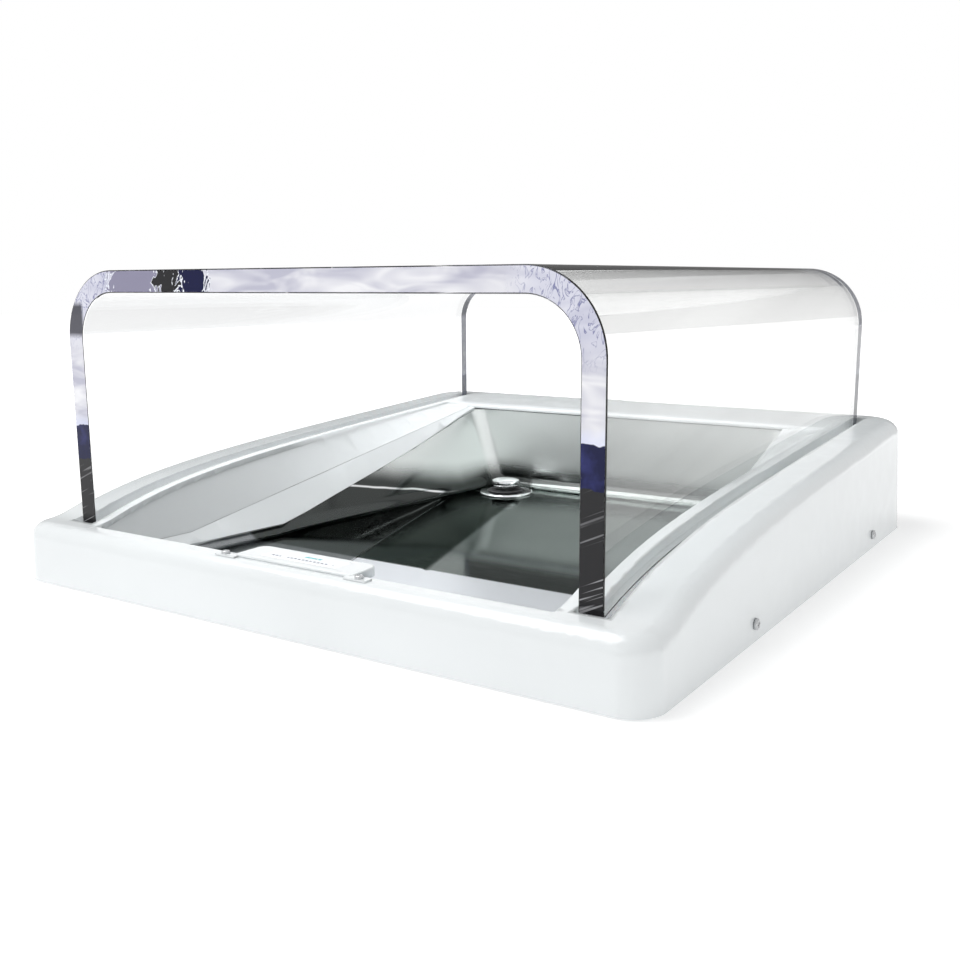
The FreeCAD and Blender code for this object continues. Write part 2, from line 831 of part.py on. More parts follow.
def bracket_screws():
    """Short screws that cut their thread in the pan and end above the surface."""
    z = pan_top + bracket_sheet
    length = bracket_sheet + pan_sheet + 0.8
    screw = pan_head(small_screw_diameter, small_screw_head, small_screw_head_height, length)
    return [screw.translated(Vector(x, y, z)) for x, y in bracket_screw_axes()]


def tray_pads():
    """Rubber blocks that carry the tray's floor on the pan."""
    half_x, half_y = pad_length / 2, pad_width / 2
    return [
        box(x - half_x, x + half_x, y - half_y, y + half_y, pan_top, tray_under)
        for x in pad_places_x
        for y in pad_places_y
    ]


def make(name, shapes):
    """Writes one named piece, or a group of like pieces, to its own file."""
    shapes = shapes if isinstance(shapes, list) else [shapes]
    solids = [solid for shape in shapes for solid in shape.Solids]
    bad = [solid for solid in solids if not solid.isValid() or solid.Volume <= 0]
    shape = solids[0] if len(solids) == 1 else Part.makeCompound(solids)
    shape.exportStep(os.path.join("parts", name + ".step"))
    print(f"{name:18s} solids {len(solids):2d}  bad {len(bad)}  volume {shape.Volume / 1000:8.2f} cm3")


os.makedirs("parts", exist_ok=True)
right_wall = liner()
right_seat = hood_seat()
make("surround_shell", surround_shell())
make("right_inner_wall", right_wall)
make("left_inner_wall", mirrored(right_wall))
make("steel_tray", steel_tray())
make("rim_seal", rim_seal())
make("tray_pads", tray_pads())
make("tray_front_screws", tray_front_screws())
make("tray_front_nuts", tray_front_nuts())
make("rear_brackets", rear_brackets())
make("bracket_screws", bracket_screws())
make("hood", hood())
make("right_hood_seat", right_seat)
make("left_hood_seat", mirrored(right_seat))
make("base_pan", base_pan())
make("rubber_feet", rubber_feet())
make("foot_screws", foot_screws())
make("foot_nuts", foot_nuts())
make("side_screws", side_screws())
make("side_nuts", side_nuts())
make("waste_flange", waste_flange())
make("waste_gasket", waste_gasket())
make("waste_body", waste_body())
make("drain_grommet", drain_grommet())
make("plug_cap", plug_cap())
make("plug_stopper", plug_stopper())
make("label_tab", label_tab())
make("label_film", label_film())
make("tab_screws", tab_screws())
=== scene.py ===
"""Countertop basin with a clear hood: its looks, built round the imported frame.

Metres. +X right, +Y towards the back, +Z up, as in the frame.
"""

import math

import bmesh
import bpy
from mathutils import Matrix, Vector


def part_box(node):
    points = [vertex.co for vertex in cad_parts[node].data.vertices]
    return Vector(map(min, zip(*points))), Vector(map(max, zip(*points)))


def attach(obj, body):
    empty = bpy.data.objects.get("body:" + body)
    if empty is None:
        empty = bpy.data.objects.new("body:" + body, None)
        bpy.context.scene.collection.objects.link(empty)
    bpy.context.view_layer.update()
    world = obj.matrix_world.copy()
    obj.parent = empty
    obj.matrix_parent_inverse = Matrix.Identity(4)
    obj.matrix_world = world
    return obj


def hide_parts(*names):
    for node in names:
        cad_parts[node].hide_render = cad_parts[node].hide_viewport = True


bl_info = {
    "name": "Countertop Basin",
    "version": (1, 0, 0),
    "blender": (4, 5, 0),
    "location": "3D View > Sidebar > Basin",
    "description": "Builds a countertop basin with a clear hood round its packed frame",
    "category": "Add Mesh",
}

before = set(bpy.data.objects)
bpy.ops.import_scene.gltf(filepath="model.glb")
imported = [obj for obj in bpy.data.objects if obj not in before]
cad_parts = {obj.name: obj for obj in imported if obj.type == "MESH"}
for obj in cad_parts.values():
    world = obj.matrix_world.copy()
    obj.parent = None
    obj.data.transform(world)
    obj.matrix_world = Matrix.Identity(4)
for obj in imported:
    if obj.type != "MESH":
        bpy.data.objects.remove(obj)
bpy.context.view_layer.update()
MM = 0.001


def node_box(node):
    """Lowest and highest corner of a frame node, as vectors."""
    low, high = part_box(node)
    return Vector(low), Vector(high)


TRAY_LOW, TRAY_HIGH = node_box("steel_tray")
HOOD_LOW, HOOD_HIGH = node_box("hood")
RIM_LOW, RIM_HIGH = node_box("waste_flange")
LEFT_GROOVE = (Vector((-135, 122, 0)) * MM, Vector((-52, -132, 0)) * MM)
RIGHT_GROOVE = (Vector((-62, 106, 0)) * MM, Vector((10, -125, 0)) * MM)


def size(name, text, default):
    """A length that a user may change."""
    return bpy.props.FloatProperty(
        name=name, description=text, default=default, subtype="DISTANCE", unit="LENGTH"
    )


def tone(name, text, default):
    """A colour that a user may change."""
    return bpy.props.FloatVectorProperty(
        name=name, description=text, default=default, subtype="COLOR", size=3, min=0.0, max=1.0
    )


def angle(name, text, degrees):
    """A turn that a user may change."""
    return bpy.props.FloatProperty(
        name=name, description=text, default=math.radians(degrees), subtype="ANGLE", unit="ROTATION"
    )


class BasinSizes(bpy.types.PropertyGroup):
    """Sizes of the pieces that aren't read from the frame's boxes."""

    sheet: size("Tray sheet", "Thickness of the tray's steel", 1.2 * MM)
    flange: size("Tray flange", "Depth of the flange behind the tray's back wall", 9 * MM)
    floor_front: size("Floor front", "Half the floor's width at the front", 181 * MM)
    floor_back: size("Floor back", "Half the floor's width at the back", 129 * MM)
    side_lean: bpy.props.FloatProperty(
        name="Side lean", description="How far a side leans out for its height", default=0.342
    )
    bend_radius: size("Tray bend", "Radius between the tray's floor and walls", 10 * MM)
    corner_radius: size("Tray corner", "Radius of the tray's back corners", 12 * MM)
    upstand: size("Upstand", "Height of the tray's front edge over its floor", 12 * MM)
    groove_width: size("Floor groove", "Width of the shallow grooves that lead to the waste", 8 * MM)
    groove_depth: size("Floor groove depth", "Depth of the shallow grooves in the floor", 0.8 * MM)
    hood_sheet: size("Hood sheet", "Thickness of the clear hood", 15 * MM)
    hood_bend: size("Hood bend", "Outer radius of the hood's two bends", 48 * MM)
    hood_edge: size("Hood edge", "Width of the polished chamfer on the hood's edges", 0.7 * MM)
    waste_bore: size("Waste bore", "Diameter of the waste's opening", 31 * MM)
    waste_neck: size("Waste neck", "Outside of the waste's neck", 36 * MM)
    cap_diameter: size("Plug cap", "Diameter of the plug's cap", 27 * MM)
    lip_diameter: size("Stopper lip", "Diameter of the stopper's lip", 34 * MM)


class BasinFinishes(bpy.types.PropertyGroup):
    """Colours of the finishes."""

    white: tone("White plastic", "Gloss white of the surround", (0.81, 0.84, 0.85))
    steel: tone("Polished steel", "Tint of the tray", (0.52, 0.56, 0.545))
    clear: tone("Clear acrylic", "Tint that the hood gives to what is behind it", (0.985, 0.99, 0.995))
    navy: tone("Edge navy", "Deep blue in the hood's cut edges", (0.006, 0.008, 0.05))
    charcoal: tone("Edge charcoal", "Dark grey in the hood's cut edges", (0.022, 0.022, 0.024))
    chrome: tone("Chrome", "Tint of the waste's rim and plug", (0.90, 0.91, 0.92))
    rubber: tone("Rubber", "Black rubber of the feet, pads and seals", (0.02, 0.02, 0.021))
    zinc: tone("Zinc sheet", "Plated sheet of the pan and brackets", (0.55, 0.56, 0.57))
    mark: tone("Label mark", "Teal of the plain mark on the label", (0.03, 0.42, 0.45))
    print: tone("Label print", "Navy of the plain dashes on the label", (0.03, 0.05, 0.16))


class BasinStage(bpy.types.PropertyGroup):
    """Camera, floor and light."""

    camera_place: bpy.props.FloatVectorProperty(
        name="Camera place",
        description="Where the camera stands",
        default=(0.4546, -0.7192, 0.2128),
        subtype="TRANSLATION",
        unit="LENGTH",
    )
    camera_yaw: angle("Camera yaw", "How far the camera looks to the left of the depth", 33.63)
    camera_pitch: angle("Camera pitch", "How far the camera looks down", 10.472)
    camera_roll: angle("Camera roll", "How far the camera is turned about its view", 0.354)
    lens: bpy.props.FloatProperty(
        name="Lens", description="Focal length on a 36 mm sensor", default=40.66, unit="CAMERA"
    )
    floor_size: size("Floor size", "Side of the floor", 12.0)
    world_light: bpy.props.FloatProperty(
        name="Surround light", description="Strength of the white room", default=0.76
    )
    key_power: bpy.props.FloatProperty(
        name="Key", description="Power of the overhead light", default=22.0, unit="POWER"
    )


GROUPS = (BasinSizes, BasinFinishes, BasinStage)


def sizes():
    return bpy.context.scene.basin_sizes


def finishes():
    return bpy.context.scene.basin_finishes


# Node helpers


class Look:
    """A material that is being made: its nodes, its shader and the place that its patterns are read from."""

    def __init__(self, name, base, roughness, metallic=0.0):
        self.material = bpy.data.materials.new(name)
        self.material.use_nodes = True
        self.nodes = self.material.node_tree.nodes
        self.links = self.material.node_tree.links
        self.shader = self.nodes["Principled BSDF"]
        self.output = self.nodes["Material Output"]
        self.place = self.nodes.new("ShaderNodeTexCoord").outputs["Object"]
        self.set("Base Color", (*base, 1.0))
        self.set("Roughness", roughness)
        self.set("Metallic", metallic)

    def set(self, socket, value):
        self.shader.inputs[socket].default_value = value

    def feed(self, socket, source):
        self.links.new(source, self.shader.inputs[socket])

    def stretched(self, lengths, turn=(0.0, 0.0, 0.0)):
        """The place in a turned frame, for a pattern whose units have these lengths along its axes."""
        node = self.nodes.new("ShaderNodeMapping")
        node.vector_type = "TEXTURE"
        node.inputs["Scale"].default_value = lengths
        node.inputs["Rotation"].default_value = turn
        self.links.new(self.place, node.inputs["Vector"])
        return node.outputs["Vector"]

    def noise(self, scale, detail=3.0, place=None, distortion=0.0):
        node = self.nodes.new("ShaderNodeTexNoise")
        node.inputs["Scale"].default_value = scale
        node.inputs["Detail"].default_value = detail
        node.inputs["Distortion"].default_value = distortion
        self.links.new(place or self.place, node.inputs["Vector"])
        return node.outputs["Fac"]

    def cells(self, scale, feature="F1"):
        node = self.nodes.new("ShaderNodeTexVoronoi")
        node.feature = feature
        node.inputs["Scale"].default_value = scale
        self.links.new(self.place, node.inputs["Vector"])
        return node.outputs["Distance"]

    def axis(self, letter):
        """One coordinate of the place."""
        node = self.nodes.new("ShaderNodeSeparateXYZ")
        self.links.new(self.place, node.inputs[0])
        return node.outputs[letter]

    def ranged(self, source, low, high, to_low=0.0, to_high=1.0, smooth=False):
        node = self.nodes.new("ShaderNodeMapRange")
        node.interpolation_type = "SMOOTHSTEP" if smooth else "LINEAR"
        self.links.new(source, node.inputs["Value"])
        for socket, value in (("From Min", low), ("From Max", high), ("To Min", to_low), ("To Max", to_high)):
            node.inputs[socket].default_value = value
        return node.outputs["Result"]

    def maths(self, operation, first, second=None):
        node = self.nodes.new("ShaderNodeMath")
        node.operation = operation
        for socket, value in zip(node.inputs, (first, second)):
            if isinstance(value, (int, float)):
                socket.default_value = value
            elif value is not None:
                self.links.new(value, socket)
        return node.outputs[0]

    def mixed(self, share, first, second):
        """A colour between two, each a colour or a socket."""
        node = self.nodes.new("ShaderNodeMix")
        node.data_type = "RGBA"
        if isinstance(share, (int, float)):
            node.inputs["Factor"].default_value = share
        else:
            self.links.new(share, node.inputs["Factor"])
        for socket, value in ((node.inputs[6], first), (node.inputs[7], second)):
            if isinstance(value, tuple):
                socket.default_value = (*value, 1.0)
            else:
                self.links.new(value, socket)
        return node.outputs[2]

    def bump(self, height, strength, distance):
        """Adds a relief to the shader, over any that it has."""
        node = self.nodes.new("ShaderNodeBump")
        node.inputs["Strength"].default_value = strength
        node.inputs["Distance"].default_value = distance
        self.links.new(height, node.inputs["Height"])
        before = self.shader.inputs["Normal"].links
        if before:
            self.links.new(before[0].from_socket, node.inputs["Normal"])
        self.feed("Normal", node.outputs["Normal"])


def shade(colour, factor):
    """A colour made darker or lighter."""
    return tuple(min(1.0, channel * factor) for channel in colour)


# Finishes


def white_plastic():
    """Gloss moulded plastic with a faint orange peel and a little unevenness in its gloss."""
    look = Look("white_plastic", finishes().white, 0.2)
    white = tuple(finishes().white)
    uneven = look.ranged(look.noise(7.0, 2.0), 0.35, 0.65)
    look.feed("Base Color", look.mixed(uneven, white, shade(white, 0.97)))
    look.feed("Roughness", look.ranged(look.noise(60.0, 4.0), 0.3, 0.7, 0.16, 0.26))
    look.set("Coat Weight", 0.35)
    look.set("Coat Roughness", 0.06)
    look.bump(look.noise(420.0, 2.0), 0.06, 0.1 * MM)
    look.bump(look.noise(9.0, 1.0), 0.12, 1.2 * MM)
    return look.material


def polished_steel():
    """Mirror-polished sheet with painted reflections: pale painted walls that darken to their feet, a floor
    painted dark part by part between its grooves, a pale painted front to the floor and a thin painted
    highlight along the walls' feet.
    """
    look = Look("polished_steel", finishes().steel, 0.08, 1.0)
    x, y, z = look.axis("X"), look.axis("Y"), look.axis("Z")
    floor, steel = TRAY_LOW.z + sizes().sheet, tuple(finishes().steel)
    fold = look.maths("SUBTRACT", floor + 24 * MM, look.maths("MULTIPLY", y, 0.185))
    over_fold = look.maths("SUBTRACT", z, look.maths("MAXIMUM", fold, floor - 2 * MM))
    cloud = look.noise(8.0, 3.0)
    over_fold = look.maths("ADD", over_fold, look.ranged(cloud, 0.3, 0.7, -3 * MM, 3 * MM))
    # Painted reflection: the walls are painted pale above the bend, darker towards their feet.
    wall = look.ranged(over_fold, 5 * MM, 30 * MM, smooth=True)
    left = look.ranged(across(look, x, y, *LEFT_GROOVE), -2 * MM, 2 * MM)
    right = look.ranged(across(look, x, y, *RIGHT_GROOVE), -2 * MM, 2 * MM)
    # Painted reflection: the front of the floor is painted pale, more so right of the left groove.
    strip = look.ranged(y, -116 * MM, -119 * MM)
    strip = look.maths("MULTIPLY", strip, look.ranged(left, 0.0, 1.0, 0.25, 0.95))
    # Painted reflection: the floor is painted dark, each part between the grooves to its own depth.
    painted_floor_reflection = look.mixed(left, shade(steel, 0.13), shade(steel, 0.11))
    painted_floor_reflection = look.mixed(right, painted_floor_reflection, look.mixed(cloud, shade(steel, 0.25), shade(steel, 0.55)))
    painted_floor_reflection = look.mixed(strip, painted_floor_reflection, (0.86, 0.89, 0.93))
    # Painted highlight: a thin bright line along the foot of the walls.
    from_foot = look.maths("ABSOLUTE", look.maths("SUBTRACT", over_fold, 1 * MM))
    painted_foot_highlight = look.ranged(from_foot, 0.4 * MM, 1.2 * MM, 0.9, 0.0)
    painted_foot_highlight = look.maths("MULTIPLY", painted_foot_highlight, look.ranged(z, floor + 2 * MM, floor + 4 * MM))
    sheet = look.mixed(wall, painted_floor_reflection, (0.93, 0.97, 0.955))
    look.feed("Base Color", look.mixed(painted_foot_highlight, sheet, (0.95, 0.96, 0.97)))
    # The specular tint carries the same painted reflection: dimmer on the dark parts of the floor.
    edges = look.mixed(left, (0.50, 0.52, 0.51), (0.37, 0.39, 0.38))
    edges = look.mixed(right, edges, (0.60, 0.63, 0.62))
    edges = look.mixed(look.maths("MAXIMUM", strip, painted_foot_highlight), edges, (1.0, 1.0, 1.0))
    look.feed("Specular Tint", look.mixed(wall, edges, (1.0, 1.0, 1.0)))
    lines = look.noise(1.0, 4.0, look.stretched((40 * MM, 1.2 * MM, 1.2 * MM)))
    satin = look.maths("MULTIPLY", look.maths("MAXIMUM", wall, strip), 0.3)
    look.feed("Roughness", look.maths("ADD", look.ranged(lines, 0.3, 0.75, 0.06, 0.12), satin))
    look.bump(look.noise(7.0, 1.0), 0.08, 1.0 * MM)
    look.bump(lines, 0.02, 0.05 * MM)
    return look.material


def across(look, x, y, start, end):
    """How far a place lies to the right of a line in the floor."""
    side = (end - start).cross(Vector((0, 0, 1))).normalized() * -1
    offset = -start.dot(side)
    return look.maths(
        "ADD", look.maths("MULTIPLY", x, side.x), look.maths("ADD", look.maths("MULTIPLY", y, side.y), offset)
    )


def let_lamps_through(look, glass, share):
    """Puts a clear shader in for lamp rays, so that the glass doesn't black out what is behind it."""
    clear = look.nodes.new("ShaderNodeBsdfTransparent")
    clear.inputs["Color"].default_value = (0.97, 0.98, 0.985, 1.0)
    path = look.nodes.new("ShaderNodeLightPath")
    mix = look.nodes.new("ShaderNodeMixShader")
    look.links.new(look.maths("MULTIPLY", path.outputs["Is Shadow Ray"], share), mix.inputs["Fac"])
    look.links.new(glass, mix.inputs[1])
    look.links.new(clear.outputs[0], mix.inputs[2])
    look.links.new(mix.outputs[0], look.output.inputs["Surface"])


def clear_acrylic():
    """Clear cast sheet with a painted grey reflection towards its right wall, in long soft streaks along its
    depth.
    """
    look = Look("clear_acrylic", finishes().clear, 0.0)
    look.set("Transmission Weight", 1.0)
    look.set("IOR", 1.49)
    clear = tuple(finishes().clear)
    along = look.stretched((60 * MM, 420 * MM, 34 * MM), (math.radians(9), 0.0, 0.0))
    streaks = look.noise(1.0, 3.0, along, 0.4)
    # Painted reflection: soft grey streaks of the room, stronger towards the right wall.
    painted_streak_reflection = look.mixed(look.ranged(streaks, 0.32, 0.68), (0.93, 0.935, 0.93), (0.78, 0.785, 0.78))
    look.feed("Base Color", look.mixed(look.ranged(look.axis("X"), 0.1, 0.2, 0.12, 1.0), clear, painted_streak_reflection))
    look.feed("Roughness", look.ranged(look.noise(14.0, 3.0), 0.45, 0.75, 0.0, 0.03))
    look.bump(look.noise(6.0, 1.0), 0.05, 0.6 * MM)
    let_lamps_through(look, look.shader.outputs[0], 0.96)
    return look.material


def acrylic_edge():
    """Polished cut edge with painted reflections: what the sheet carries inside is painted as pale streaks
    with navy and charcoal bands.
    """
    look = Look("acrylic_edge", (0.8, 0.8, 0.85), 0.05)
    navy, charcoal = tuple(finishes().navy), tuple(finishes().charcoal)
    x, y, z = look.axis("X"), look.axis("Y"), look.axis("Z")
    wavy = look.noise(1.0, 2.0, look.stretched((7 * MM, 1.0, 13 * MM), (0.0, math.radians(14), 0.0)), 2.2)
    broad = look.noise(1.0, 2.0, look.stretched((45 * MM, 1.0, 14 * MM)), 0.8)
    # The edge's colour is painted reflection: pale streaks, bluish tone and dark lines at the bends.
    pale = look.mixed(look.ranged(broad, 0.35, 0.65), (0.86, 0.86, 0.89), (0.50, 0.50, 0.60))
    at_bend = look.ranged(z, 0.165, 0.185)
    at_bend = look.maths("MULTIPLY", at_bend, look.ranged(look.maths("ABSOLUTE", x), 0.15, 0.17))
    ridge = look.maths("ABSOLUTE", look.maths("SUBTRACT", wavy, 0.55))
    painted_dark_lines = look.maths("MULTIPLY", look.ranged(ridge, 0.0, 0.035, 0.85, 0.0), at_bend)
    tone = look.mixed(look.maths("MULTIPLY", at_bend, 0.5), pale, (0.66, 0.67, 0.80))
    tone = look.mixed(painted_dark_lines, tone, (0.10, 0.11, 0.30))
    sway = look.maths("ADD", x, look.ranged(wavy, 0.3, 0.7, -7 * MM, 7 * MM))
    on_top = look.ranged(z, 0.19, 0.2)
    # Painted reflection: dark bands on the top edge, each with a pale painted rim.
    for centre, half, colour in ((-138, 24, (0.27, 0.26, 0.36)), (-105, 10, charcoal), (-82, 11, navy)):
        away = look.maths("ABSOLUTE", look.maths("SUBTRACT", sway, centre * MM))
        painted_band = look.maths("MULTIPLY", look.ranged(away, half * MM, (half + 1) * MM, 1.0, 0.0), on_top)
        rim = look.maths("MULTIPLY", look.ranged(away, (half + 2.2) * MM, (half + 3) * MM, 1.0, 0.0), on_top)
        tone = look.mixed(painted_band, look.mixed(rim, tone, (0.90, 0.93, 1.0)), colour)
    # Painted reflection: a dark spot high on the left edge.
    away = look.maths("ABSOLUTE", look.maths("SUBTRACT", z, 187 * MM))
    painted_dark_spot = look.ranged(away, 9 * MM, 13 * MM, 1.0, 0.0)
    painted_dark_spot = look.maths("MULTIPLY", painted_dark_spot, look.ranged(x, -0.193, -0.196))
    tone = look.mixed(painted_dark_spot, tone, (0.09, 0.09, 0.11))
    # Painted reflection: a pale band, navy below it, then charcoal with pale rays lower down.
    level = look.maths("ADD", look.maths("SUBTRACT", z, look.maths("MULTIPLY", x, 0.045)), -1 * MM)
    level = look.maths("ADD", level, look.ranged(look.noise(90.0, 2.0), 0.3, 0.7, -1.5 * MM, 1.5 * MM))
    tone = look.mixed(look.ranged(level, 129 * MM, 121 * MM, 0.0, 0.6), tone, (0.75, 0.79, 1.0))
    deep = look.mixed(look.ranged(look.noise(70.0, 3.0), 0.5, 0.75), navy, (0.03, 0.035, 0.16))
    tone = look.mixed(look.ranged(level, 121 * MM, 120.5 * MM), tone, deep)
    rays = look.noise(1.0, 2.0, look.stretched((70 * MM, 1.0, 2.2 * MM), (0.0, math.radians(-24), 0.0)))
    lit = look.maths("MULTIPLY", look.ranged(rays, 0.6, 0.66), look.ranged(z, 0.1, 0.05, 0.1, 0.75))
    low = look.mixed(lit, charcoal, (0.5, 0.5, 0.52))
    tone = look.mixed(look.ranged(level, 97.5 * MM, 97 * MM), tone, low)
    # Painted shade: the back end of the edge is painted dark.
    tone = look.mixed(look.ranged(y, 0.0, 0.1, 0.0, 0.75), tone, (0.07, 0.08, 0.1))
    look.set("Specular IOR Level", 0.2)
    look.feed("Base Color", tone)
    look.feed("Roughness", look.ranged(look.noise(200.0, 2.0), 0.3, 0.7, 0.03, 0.07))
    return look.material


def chrome():
    """Bright plating with the faintest haze."""
    look = Look("chrome", finishes().chrome, 0.05, 1.0)
    look.feed("Roughness", look.ranged(look.noise(180.0, 3.0), 0.4, 0.8, 0.02, 0.1))
    tint = tuple(finishes().chrome)
    look.feed("Base Color", look.mixed(look.ranged(look.noise(90.0, 2.0), 0.4, 0.7), tint, shade(tint, 0.92)))
    look.bump(look.noise(60.0, 1.0), 0.05, 0.2 * MM)
    return look.material


def black_rubber():
    """Matt rubber with a fine grain."""
    look = Look("black_rubber", finishes().rubber, 0.7)
    dark = tuple(finishes().rubber)
    look.feed("Base Color", look.mixed(look.noise(150.0, 4.0), dark, shade(dark, 2.2)))
    look.feed("Roughness", look.ranged(look.noise(400.0, 3.0), 0.3, 0.7, 0.6, 0.85))
    look.bump(look.noise(1500.0, 3.0), 0.3, 0.1 * MM)
    return look.material


def foam_rubber():
    """Closed-cell foam."""
    look = Look("foam_rubber", (0.24, 0.24, 0.25), 0.9)
    cells = look.cells(900.0)
    look.feed("Base Color", look.mixed(look.ranged(cells, 0.0, 0.6), (0.12, 0.12, 0.13), (0.28, 0.28, 0.29)))
    look.bump(cells, 0.5, 0.3 * MM)
    return look.material


def clear_rubber():
    """Soft translucent strip."""
    look = Look("clear_rubber", (0.72, 0.76, 0.78), 0.35)
    look.feed("Base Color", look.mixed(look.noise(120.0, 3.0), (0.66, 0.70, 0.72), (0.78, 0.81, 0.82)))
    look.set("Subsurface Weight", 0.3)
    look.set("Subsurface Scale", 2 * MM)
    look.bump(look.noise(700.0, 2.0), 0.15, 0.1 * MM)
    return look.material


def screw_steel():
    """Bright plated screws."""
    look = Look("screw_steel", (0.55, 0.56, 0.57), 0.25, 1.0)
    worn = look.noise(600.0, 4.0)
    look.feed("Base Color", look.mixed(worn, (0.42, 0.43, 0.44), (0.68, 0.69, 0.70)))
    look.feed("Roughness", look.ranged(worn, 0.3, 0.7, 0.18, 0.38))
    look.bump(look.noise(1800.0, 3.0), 0.1, 0.05 * MM)
    return look.material


def zinc_steel():
    """Zinc-plated sheet with its spangle."""
    look = Look("zinc_steel", finishes().zinc, 0.35, 0.9)
    spangle = look.cells(70.0)
    tint = tuple(finishes().zinc)
    look.feed("Base Color", look.mixed(look.ranged(spangle, 0.0, 0.8), shade(tint, 0.8), shade(tint, 1.15)))
    look.feed("Roughness", look.ranged(spangle, 0.0, 0.8, 0.28, 0.45))
    look.bump(look.noise(350.0, 3.0), 0.08, 0.1 * MM)
    return look.material


def grey_plastic():
    """Grained moulded plastic of the drain."""
    look = Look("grey_plastic", (0.30, 0.31, 0.32), 0.5)
    grain = look.noise(900.0, 3.0)
    look.feed("Base Color", look.mixed(grain, (0.26, 0.27, 0.28), (0.34, 0.35, 0.36)))
    look.feed("Roughness", look.ranged(grain, 0.3, 0.7, 0.42, 0.6))
    look.bump(grain, 0.2, 0.1 * MM)
    return look.material


# Piece helpers


def as_piece(name, bm, body, materials, replaced=(), sharp=32.0):
    """Makes a finished mesh a piece that rides on a body and stands for nodes of the frame."""
    mesh = bpy.data.meshes.new(name)
    bm.to_mesh(mesh)
    bm.free()
    for material in materials:
        mesh.materials.append(material)
    mesh.shade_smooth()
    mesh.set_sharp_from_angle(angle=math.radians(sharp))
    piece = bpy.data.objects.new(name, mesh)
    bpy.context.scene.collection.objects.link(piece)
    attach(piece, body)
    if replaced:
        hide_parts(*replaced)
    return piece


def merged_copy(node):
    """A frame node's shape as one joined mesh."""
    bm = bmesh.new()
    bm.from_mesh(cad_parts[node].data)
    bmesh.ops.remove_doubles(bm, verts=bm.verts, dist=0.002 * MM)
    bmesh.ops.dissolve_degenerate(bm, edges=bm.edges, dist=0.002 * MM)
    return bm


def even_normals(piece):
    """Lets large faces set the shading where they meet small ones."""
    modifier = piece.modifiers.new("even_normals", "WEIGHTED_NORMAL")
    modifier.keep_sharp = True
    modifier.weight = 60


def turned(bm, profile, centre, steps):
    """Spins an open profile of (radius, height) points about the upright axis through centre."""
    chain = [bm.verts.new((centre.x + radius, centre.y, height)) for radius, height in profile]
    edges = [bm.edges.new(pair) for pair in zip(chain, chain[1:])]
    bmesh.ops.spin(
        bm,
        geom=chain + edges,
        cent=centre,
        axis=(0, 0, 1),
        angle=math.tau,
        steps=steps,
        use_merge=True,
    )
    bmesh.ops.remove_doubles(bm, verts=bm.verts, dist=0.001 * MM)
    bmesh.ops.recalc_face_normals(bm, faces=bm.faces)


def rounded(bm, edges, radius, segments):
    bmesh.ops.bevel(
        bm,
        geom=edges,
        offset=radius,
        offset_type="OFFSET",
        segments=segments,
        profile=0.5,
        affect="EDGES",
        material=-1,
        clamp_overlap=True,
    )


def block(bm, low, high):
    """A box between two corners."""
    made = bmesh.ops.create_cube(bm, size=1.0)["verts"]
    bmesh.ops.scale(bm, verts=made, vec=high - low)
    bmesh.ops.translate(bm, verts=made, vec=(low + high) / 2)
    return made


def cut_along(bm, point, normal, geometry=None):
    """Cuts faces by a plane and keeps both sides. Gives the new edges."""
    geometry = geometry or bm.verts[:] + bm.edges[:] + bm.faces[:]
    made = bmesh.ops.bisect_plane(bm, geom=geometry, plane_co=point, plane_no=normal, dist=0.001 * MM)
    return [part for part in made["geom_cut"] if isinstance(part, bmesh.types.BMEdge)]


# Surround


class BASIN_OT_surround(bpy.types.Operator):
    """White moulded surround with its two lower inner walls"""

    bl_idname = "basin.surround"
    bl_label = "Surround"

    def execute(self, context):
        finish = white_plastic()
        for node in ("surround_shell", "right_inner_wall", "left_inner_wall"):
            bm = merged_copy(node)
            piece = as_piece(node + "_skin", bm, "base", [finish], [node])
            even_normals(piece)
        return {"FINISHED"}


# Tray


def tray_face(y, z):
    """Half the tray's inner width at a place along the depth and a height."""
    s = sizes()
    front = TRAY_LOW.y + s.sheet
    back = TRAY_HIGH.y - s.flange - s.sheet
    along = (y - front) / (back - front)
    return s.floor_front + (s.floor_back - s.floor_front) * along + s.side_lean * (z - TRAY_LOW.z - s.sheet)


def wall_edge(y):
    """Height of the white inner wall's lower edge, read from the frame's node."""
    spots = [v.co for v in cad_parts["right_inner_wall"].data.vertices]
    near = [spot.z for spot in spots if abs(spot.y - y) < 15 * MM]
    return min(near) if near else None


